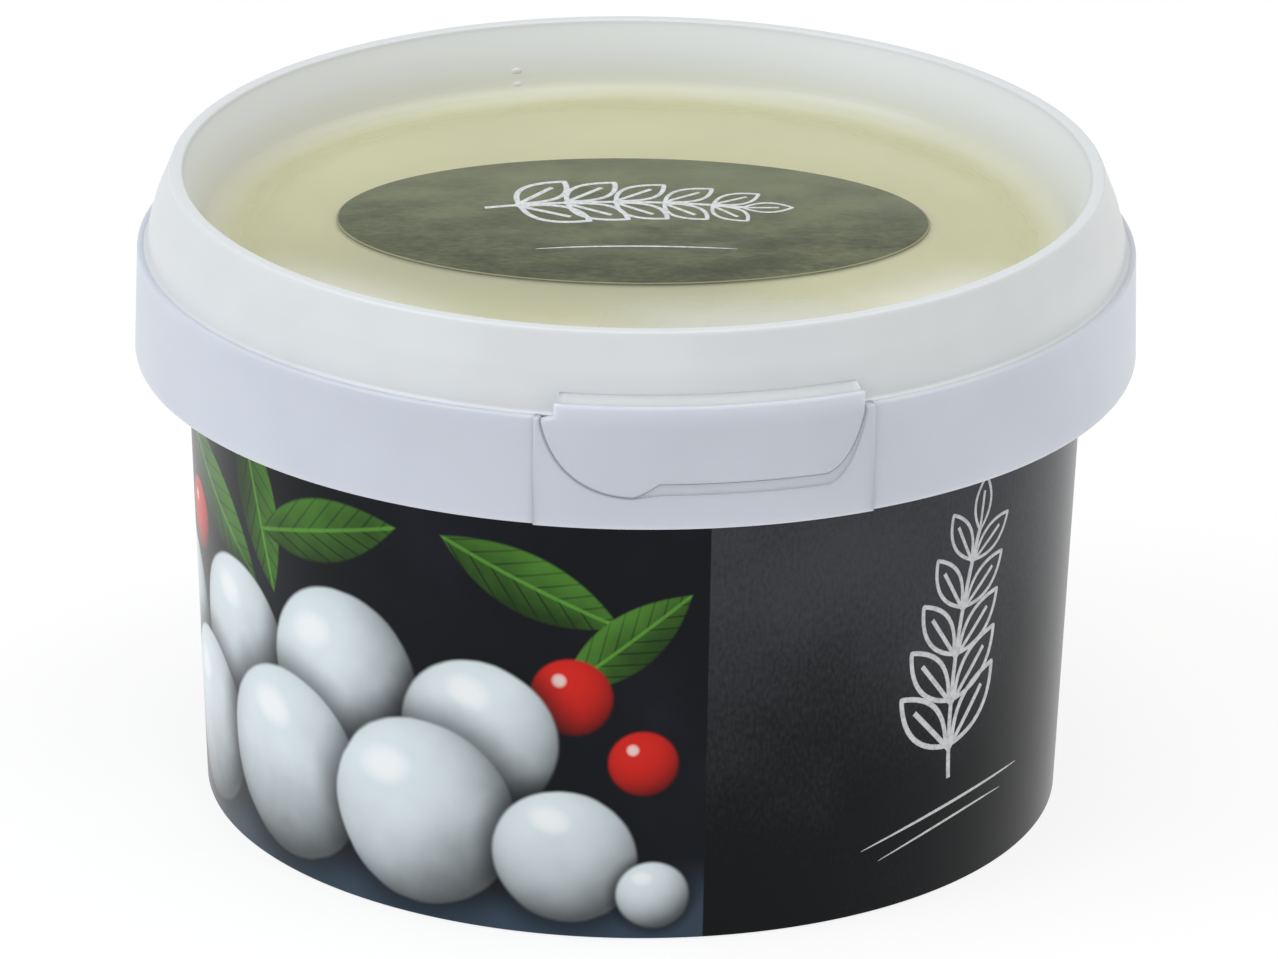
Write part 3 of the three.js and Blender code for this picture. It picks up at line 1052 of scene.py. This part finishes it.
def with_pearl(finish, ground, spread, pearl, colours, cloud):
    """A soft, slightly uneven white ball, lit from the upper left, with its shadow on what is behind."""
    p, q = in_motif(finish, spread, *pearl)
    out = p.reach(q) + (cloud - 0.5) * 0.07
    ground = finish.mixed(out.rise(1.4, 0.9) * 0.75, ground, shade(colours.night, 0.7))
    round_up = (1 - out * out).most(0) ** 0.5
    light = 0.2 + round_up * 0.42 + q * 0.34 - p * 0.22 + (cloud - 0.5) * 0.3
    body = finish.mixed(light.rise(-0.05, 0.92), shade(colours.milk, 0.13), shade(colours.milk, 1.15))
    glint = ((p + 0.3) ** 2 * 1.6 + (q - 0.5) ** 2 * 3).rise(0.2, 0.0)
    body = finish.mixed(glint * 0.6, body, (1.0, 1.0, 1.0))
    return finish.mixed(out.rise(1.0 + 0.2 / pearl[2], 1.0 - 0.3 / pearl[2]), ground, body)


def with_leaf(finish, ground, spread, leaf, colours, cloud):
    """A pointed leaf with a pale rib and darker veins."""
    p, q = in_motif(finish, spread, *leaf)
    side = abs(q)
    inside = (1 - p * p - side).rise(0, 0.12)
    vein = ((p * 2 - side) * 13).sine().rise(0.75, 1.0)
    light = 0.45 + q * 0.3 - vein * 0.2 + (cloud - 0.5) * 0.7
    body = finish.mixed(light.rise(0, 1), shade(colours.leaf, 0.18), shade(colours.leaf, 1.5))
    rib = side.rise(0.09, 0.02)
    body = finish.mixed(rib * 0.55, body, shade(colours.leaf, 2.4))
    return finish.mixed(inside, ground, body)


def with_berry(finish, ground, spread, berry, colours):
    """A round red berry with a small highlight."""
    along, up, radius = berry
    p, q = in_motif(finish, spread, along, up, radius, radius, 0)
    out = p.reach(q)
    light = 0.3 + (1 - out * out).most(0) ** 0.5 * 0.5 + q * 0.3 - p * 0.15
    body = finish.mixed(light.rise(0, 1), shade(colours.berry, 0.16), shade(colours.berry, 1.25))
    glint = ((p + 0.3) ** 2 + (q - 0.42) ** 2).rise(0.05, 0.005)
    body = finish.mixed(glint * 0.8, body, (0.9, 0.75, 0.7))
    return finish.mixed(out.rise(1.0 + 0.2 / radius, 1.0 - 0.25 / radius), ground, body)


def label_finish(colours):
    """The printed film: a dark field of white pearls, leaves and berries, then a plain slate field."""
    finish = Finish("side_label")
    x, y, z = finish.parts(finish.place)
    along = x.maths("ARCTAN2", x, -y) * ROLL_RADIUS
    up = z / MM
    spread = finish.vector(along, up)
    cloud = finish.noise(7.0, 3, where=spread)
    fine = finish.noise(0.55, 3, where=spread, stretch=(1.6, 0.8, 1))
    blot = finish.noise(16.0, 3, where=spread)

    picture = finish.mixed(blot.rise(0.45, 0.8), colours.night, shade(colours.night, 4.0))
    table = (up + (blot - 0.5) * 8).rise(9.0, 1.0)
    picture = finish.mixed(table * 0.85, picture, colours.table)
    for leaf in LEAVES:
        picture = with_leaf(finish, picture, spread, leaf, colours, cloud)
    for berry in BERRIES:
        picture = with_berry(finish, picture, spread, berry, colours)
    for pearl in PEARLS:
        picture = with_pearl(finish, picture, spread, pearl, colours, cloud)

    height = up.rise(2.0, 42.0)
    wear = blot * 0.7 + fine * 0.5 + height * 0.75
    slate = finish.mixed(wear.rise(0.62, 1.6), shade(colours.slate, 0.05), shade(colours.slate, 1.38))
    past_right = along.rise(PICTURE_TO - PICTURE_BLUR, PICTURE_TO + PICTURE_BLUR)
    past_left = along.rise(PICTURE_FROM + PICTURE_BLUR, PICTURE_FROM - PICTURE_BLUR)
    plain = past_right.most(past_left)
    return finish.surfaced(
        Base_Color=finish.mixed(plain, picture, slate),
        Roughness=0.22 + fine * 0.06,
        Normal=finish.bump(cloud + fine * 0.2, 0.06, 0.05 * MM),
        Specular_IOR_Level=0.14,
        Specular_Tint=(0.88, 0.96, 1.0, 1.0),
        IOR=INK_IOR,
    )


# The line drawings: leaf pairs on a stem, the ink's height above the film and a stroke's width at the top
# as a share of its foot's. Each drawing has the start of its stem with its turn in degrees, and strokes as
# start, bend, end and width.
LEAF_PAIRS = 5
INK_RISE = 0.03 * MM
STROKE_TAPER = 0.7
LABEL_SPRIG = (33.5 * MM, 11.5 * MM, 84)
LABEL_STROKES = (
    ((23 * MM, 6.6 * MM), (34 * MM, 9.6 * MM), (45 * MM, 9.4 * MM), 0.34 * MM),
    ((25 * MM, 5.2 * MM), (34 * MM, 7.9 * MM), (42 * MM, 7.8 * MM), 0.26 * MM),
)
STICKER_SPRIG = (-14.5 * MM, 6.0 * MM, 2)
STICKER_STROKES = (((-9.5 * MM, -5.2 * MM), (-1 * MM, -3.4 * MM), (9.5 * MM, -4.6 * MM), 0.3 * MM),)


def sprig_tree():
    """A line drawing of a stem with pairs of outlined leaves, flat on XY, with the stem along +X."""
    inputs = {
        "Stem Length": ("NodeSocketFloat", 20 * MM),
        "Stem Rise": ("NodeSocketFloat", 2 * MM),
        "Leaf Pairs": ("NodeSocketInt", LEAF_PAIRS),
        "Leaf Length": ("NodeSocketFloat", 6 * MM),
        "Leaf Width": ("NodeSocketFloat", 2.4 * MM),
        "Leaf Angle": ("NodeSocketFloat", 0.8),
        "Line Width": ("NodeSocketFloat", 0.4 * MM),
        "Ink Rise": ("NodeSocketFloat", INK_RISE),
        "Material": ("NodeSocketMaterial", None),
    }
    tree, given = new_geometry_tree("ink_sprig", inputs)
    half_line = given["Line Width"] / 2
    pen = tree.add("GeometryNodeCurvePrimitiveCircle", {}, {"Resolution": 8, "Radius": half_line})
    length = given["Stem Length"]
    ends = {"Resolution": 32, "Start": (0, 0, 0)}
    ends["Middle"] = tree.vector(length / 2, given["Stem Rise"])
    ends["End"] = tree.vector(length, 0.0)
    stem = tree.add("GeometryNodeCurveQuadraticBezier", {}, ends)
    taper = tree.add("GeometryNodeSplineParameter", output="Factor")
    thinner = 1.0 - taper * 0.45
    drawn_stem = tree.add("GeometryNodeSetCurveRadius", {}, {"Curve": stem, "Radius": thinner})
    drawn = {"Profile Curve": pen, "Fill Caps": True}
    stroke = tree.add("GeometryNodeCurveToMesh", {}, {"Curve": drawn_stem, **drawn})

    round_leaf = tree.add("GeometryNodeCurvePrimitiveCircle", {}, {"Resolution": 40, "Radius": 1.0})
    x, y, _ = tree.parts(tree.add("GeometryNodeInputPosition"))
    pointed = tree.vector((x + 1.15) / 2 * given["Leaf Length"], y * abs(y) * given["Leaf Width"] / 2)
    outline = tree.add("GeometryNodeSetPosition", {}, {"Geometry": round_leaf, "Position": pointed})
    leaf_line = tree.add("GeometryNodeCurveToMesh", {}, {"Curve": outline, "Profile Curve": pen})
    rib_end = tree.vector(given["Leaf Length"] * 0.8, 0.0)
    rib = tree.add("GeometryNodeCurvePrimitiveLine", {}, {"Start": (0, 0, 0), "End": rib_end})
    rib = tree.add("GeometryNodeResampleCurve", {}, {"Curve": rib, "Count": 16})
    rib_line = tree.add("GeometryNodeCurveToMesh", {}, {"Curve": rib, **drawn})
    leaf = tree.add("GeometryNodeJoinGeometry", {}, [leaf_line])
    tree.group.links.new(rib_line.socket, leaf.socket.node.inputs[0])

    spaced = tree.add("GeometryNodeTrimCurve", {}, {"Curve": stem, "Start": 0.12, "End": 0.86})
    picked = tree.add("GeometryNodeCurveToPoints", {}, {"Curve": spaced, "Count": given["Leaf Pairs"]})
    tangent = Wire(tree, picked.socket.node.outputs["Tangent"])
    step_x, step_y, _ = tree.parts(tangent)
    heading = step_x.maths("ARCTAN2", step_y, step_x)
    rank = tree.add("GeometryNodeInputIndex")
    size = 1.0 - rank / given["Leaf Pairs"] * 0.4
    whole = tree.add("GeometryNodeJoinGeometry", {}, [stroke])
    for side in (-1, 1):
        sockets = {"Points": picked, "Instance": leaf}
        sockets["Rotation"] = tree.vector(0.0, 0.0, heading + given["Leaf Angle"] * side)
        sockets["Scale"] = tree.vector(size, size, 1.0)
        pair = tree.add("GeometryNodeInstanceOnPoints", {}, sockets)
        tree.group.links.new(pair.socket, whole.socket.node.inputs[0])
    tip_end = tree.vector(length * 0.97, 0.0)
    sockets = {"Geometry": leaf, "Translation": tip_end, "Scale": (0.62, 0.62, 1.0)}
    tip = tree.add("GeometryNodeTransform", {}, sockets)
    tree.group.links.new(tip.socket, whole.socket.node.inputs[0])
    real = tree.add("GeometryNodeRealizeInstances", {}, [whole])
    flatter = tree.vector(1.0, 1.0, given["Ink Rise"] / half_line)
    pressed = tree.add("GeometryNodeTransform", {}, {"Geometry": real, "Scale": flatter})
    end_geometry_tree(tree, pressed, given["Material"])
    return tree


def ink_stroke(name, start, bend, end, width):
    """A tapered hand-drawn stroke, flat on XY."""
    middle = curve_points(start, bend, end, 6 * ROUND_STEPS)
    corners = ((-1, -INK_RISE), (1, -INK_RISE), (STROKE_TAPER, INK_RISE), (-STROKE_TAPER, INK_RISE))
    verts = []
    for i, point in enumerate(middle):
        share = i / (len(middle) - 1)
        ahead = middle[min(i + 1, len(middle) - 1)] - middle[max(i - 1, 0)]
        aside = np.array((-ahead[1], ahead[0])) / np.hypot(*ahead)
        half = width / 2 * (0.12 + math.sin(math.pi * share) ** 0.6)
        verts += [(*(point + aside * half * side), rise) for side, rise in corners]
    return outward(mesh_piece(name, verts, tube_faces(len(middle), 4)))


def drawing(name, ink, place, strokes, **sizes):
    """A sprig, turned in its plane and put at its place, with strokes under it, flat on XY. Sizes are the
    sprig's inputs, written with underscores."""
    settings = {label.replace("_", " "): size for label, size in sizes.items()}
    settings.update({"Leaf Pairs": LEAF_PAIRS, "Ink Rise": INK_RISE, "Material": ink})
    sprig = grown(name, sprig_tree(), settings)
    along, up, turn = place
    sprig.data.transform(Matrix.Translation((along, up, 0)) @ Matrix.Rotation(math.radians(turn), 4, "Z"))
    return joined(name, [sprig, *(ink_stroke("stroke", *stroke) for stroke in strokes)])


def wrapped_on_label(piece, sizes):
    """Bends a flat drawing of (arc length, height, rise) on to the label's face."""
    for vert in piece.data.vertices:
        along, up, rise = vert.co
        angle = math.degrees(along / (ROLL_RADIUS * MM))
        vert.co = Vector(around(label_radius(sizes, up) + rise, angle, up))
    piece.data.update()
    return piece


def ink_finish(name, colour):
    """Printed line work: pale ink, a little uneven."""
    finish = Finish(name)
    grain = finish.noise(0.5 * MM, 3)
    tone = finish.mixed(grain.rise(0.25, 0.65), shade(colour, 0.72), colour)
    return finish.surfaced(Base_Color=tone, Roughness=0.38 + grain * 0.1, IOR=INK_IOR)


class BURRATA_OT_label(bpy.types.Operator):
    """Makes the printed label round the cup, with the line drawing on its plain field"""

    bl_idname = "burrata.label"
    bl_label = "Side label"

    def execute(self, context):
        sizes = context.scene.burrata_sizes
        colours = context.scene.burrata_colours
        low, high = label_low.z, label_high.z
        edge = LABEL_THICKNESS / 3
        profile = rounded(
            [
                (label_radius(sizes, low) - LABEL_THICKNESS, low, edge),
                (label_radius(sizes, low), low, edge),
                (label_radius(sizes, high), high, edge),
                (label_radius(sizes, high) - LABEL_THICKNESS, high, edge),
            ],
            ring=True,
        )
        turn = 180 - SEAM_HALF_ANGLE
        sleeve = turned("side_label_film", profile, ring=True, angles=np.linspace(-turn, turn, SIDES + 1))
        fitted(sleeve, label_finish(colours), "side_label", "side_label")

        ink = ink_finish("label_ink", shade(colours.ink, 0.86))
        lines = drawing(
            "label_sprig",
            ink,
            LABEL_SPRIG,
            LABEL_STROKES,
            Stem_Length=25 * MM,
            Stem_Rise=2.4 * MM,
            Leaf_Length=8.6 * MM,
            Leaf_Width=3.6 * MM,
            Leaf_Angle=0.72,
            Line_Width=0.55 * MM,
        )
        fitted(wrapped_on_label(lines, sizes), ink, "side_label")
        return {"FINISHED"}


def sticker_finish(colours):
    """Satin paper printed with worn olive slate, darker towards the front edge."""
    finish = Finish("lid_sticker")
    x, y, _ = finish.parts(finish.place)
    blot = finish.noise(7 * MM, 4, stretch=(1, 1.6, 1))
    fine = finish.noise(1.1 * MM, 4, stretch=(1, 2.2, 1))
    light = (blot * 0.9 + fine * 0.6 + y.rise(sticker_low.y, sticker_high.y) * 0.35).rise(0.45, 1.35)
    tone = finish.mixed(light, shade(colours.sticker, 0.38), shade(colours.sticker, 1.35))
    warm = finish.noise(12 * MM, 2).rise(0.5, 0.75)
    tone = finish.mixed(warm * 0.35, tone, shade(colours.sticker, 0.85))
    border = in_sticker(x, y)[1].rise(0.993, 0.997)
    tone = finish.mixed(border * 0.4, tone, colours.whey)
    return finish.surfaced(
        Base_Color=tone,
        Roughness=0.42 + fine * 0.1,
        Normal=finish.bump(fine, 0.08, 0.03 * MM),
        IOR=PAPER_IOR,
    )


class BURRATA_OT_sticker(bpy.types.Operator):
    """Makes the oval sticker on the lid's panel, with its line drawing"""

    bl_idname = "burrata.sticker"
    bl_label = "Lid sticker"

    def execute(self, context):
        sizes = context.scene.burrata_sizes
        colours = context.scene.burrata_colours
        centre = (sticker_low + sticker_high) / 2
        half = (sticker_high - sticker_low) / 2
        base = sizes.panel_height + STICKER_GAP
        top = base + STICKER_SHEET
        rings = [(1, base), (1, top - STICKER_EDGE), (1 - STICKER_EDGE / half.y, top), (0.5, top)]
        verts = []
        for share, height in rings:
            for i in range(SIDES):
                turn = 2 * math.pi * i / SIDES
                across, deep = half.x * share * math.cos(turn), half.y * share * math.sin(turn)
                verts.append((centre.x + across, centre.y + deep, height))
        oval = mesh_piece("sticker_oval", verts, tube_faces(len(rings), SIDES))
        fitted(oval, sticker_finish(colours), "lid_sticker", "lid_sticker")

        ink = ink_finish("sticker_ink", colours.ink)
        lines = drawing(
            "sticker_sprig",
            ink,
            STICKER_SPRIG,
            STICKER_STROKES,
            Stem_Length=25 * MM,
            Stem_Rise=3.2 * MM,
            Leaf_Length=7.6 * MM,
            Leaf_Width=4.2 * MM,
            Leaf_Angle=0.75,
            Line_Width=0.6 * MM,
        )
        lines.data.transform(Matrix.Translation((0, 0, top)))
        fitted(lines, ink, "lid_sticker")
        return {"FINISHED"}


# Soft lights: name, azimuth and elevation in degrees, distance, size, share of the key's power, colour
LIGHTS = (
    ("key_softbox", -70.0, 46.0, 1.4, 1.0, 1.0, (0.9, 0.95, 1.0)),
    ("top_softbox", 20.0, 80.0, 1.4, 1.1, 0.74, (1.0, 1.0, 0.99)),
    ("side_softbox", 100.0, 50.0, 1.3, 0.9, 0.36, (1.0, 0.975, 0.9)),
)
FLOOR_SIZE = 6.0
FLOOR_DROP = 0.02 * MM
FLOOR_GLOW = 0.82
FLOOR_TONE = 0.2
AIM = (0.0, 0.0, 28.5 * MM)
VIEW_SHIFT = (0.0041, 0.0099)
SENSOR_WIDTH = 36.0
VIEW_REACH = (0.01, 20.0)


def aimed_frame(azimuth, elevation, distance, roll=0.0):
    """The pose of a camera or light that looks at the aim from an azimuth and an elevation in degrees."""
    azimuth, elevation, roll = (math.radians(angle) for angle in (azimuth, elevation, roll))
    ahead = Vector((math.sin(azimuth), -math.cos(azimuth), 0))
    level = Vector((math.cos(azimuth), math.sin(azimuth), 0))
    back = ahead * math.cos(elevation) + Vector((0, 0, math.sin(elevation)))
    upright = back.cross(level)
    right = level * math.cos(roll) + upright * math.sin(roll)
    turn = Matrix((right, back.cross(right), back)).transposed()
    return Matrix.Translation(Vector(AIM) + back * distance) @ turn.to_4x4()


class BURRATA_OT_studio(bpy.types.Operator):
    """Makes the white floor, the soft lights and the camera"""

    bl_idname = "burrata.studio"
    bl_label = "Studio"

    def execute(self, context):
        scene = context.scene
        studio = scene.burrata_studio
        half = FLOOR_SIZE / 2
        corners = [(x * half, y * half, -FLOOR_DROP) for x, y in ((-1, -1), (1, -1), (1, 1), (-1, 1))]
        floor = mesh_piece("floor", corners, [(0, 1, 2, 3)])
        finish = Finish("white_floor")
        material = finish.surfaced(
            Base_Color=(FLOOR_TONE, FLOOR_TONE, FLOOR_TONE),
            Roughness=0.9,
            Specular_IOR_Level=0.0,
            Emission_Color=(1, 1, 1, 1),
            Emission_Strength=FLOOR_GLOW,
        )
        floor.data.materials.append(material)

        for name, azimuth, elevation, distance, size, share, colour in LIGHTS:
            light = bpy.data.lights.new(name, "AREA")
            light.shape = "DISK"
            light.size = size
            light.energy = studio.key * share
            light.color = colour
            placed(name, light).matrix_world = aimed_frame(azimuth, elevation, distance)

        world = bpy.data.worlds.new("white_surroundings")
        world.use_nodes = True
        surroundings = world.node_tree.nodes["Background"].inputs
        surroundings["Color"].default_value = (1, 1, 1, 1)
        surroundings["Strength"].default_value = studio.sky
        scene.world = world
        scene.view_settings.view_transform = "Standard"

        data = bpy.data.cameras.new("camera")
        data.lens = studio.lens
        data.sensor_width = SENSOR_WIDTH
        data.shift_x, data.shift_y = VIEW_SHIFT
        data.clip_start, data.clip_end = VIEW_REACH
        camera = placed("camera", data)
        camera.matrix_world = aimed_frame(0.0, studio.elevation, studio.distance, studio.roll)
        scene.camera = camera
        return {"FINISHED"}


OPERATORS = (
    BURRATA_OT_cup,
    BURRATA_OT_lid,
    BURRATA_OT_filling,
    BURRATA_OT_label,
    BURRATA_OT_sticker,
    BURRATA_OT_studio,
)


class BURRATA_PT_tub(bpy.types.Panel):
    """Lists the pieces of the tub"""

    bl_idname = "BURRATA_PT_tub"
    bl_label = "Tub of Goat Burrata"
    bl_space_type = "VIEW_3D"
    bl_region_type = "UI"
    bl_category = "Burrata"

    def draw(self, context):
        for operator in OPERATORS:
            self.layout.operator(operator.bl_idname)
        for group_name, kind in GROUPS.items():
            box = self.layout.box()
            for name in kind.__annotations__:
                box.prop(getattr(context.scene, group_name), name)


GROUPS = {
    "burrata_sizes": BURRATA_PG_sizes,
    "burrata_colours": BURRATA_PG_colours,
    "burrata_studio": BURRATA_PG_studio,
}


def register():
    for group_name, group in GROUPS.items():
        bpy.utils.register_class(group)
        setattr(bpy.types.Scene, group_name, PointerProperty(type=group))
    for kind in (*OPERATORS, BURRATA_PT_tub):
        bpy.utils.register_class(kind)


def unregister():
    for kind in reversed((*OPERATORS, BURRATA_PT_tub)):
        bpy.utils.unregister_class(kind)
    for group_name, group in reversed(GROUPS.items()):
        delattr(bpy.types.Scene, group_name)
        bpy.utils.unregister_class(group)


def main():
    register()
    bpy.ops.burrata.cup()
    bpy.ops.burrata.lid()
    bpy.ops.burrata.filling()
    bpy.ops.burrata.label()
    bpy.ops.burrata.sticker()
    bpy.ops.burrata.studio()


if __name__ == "__main__":
    main()
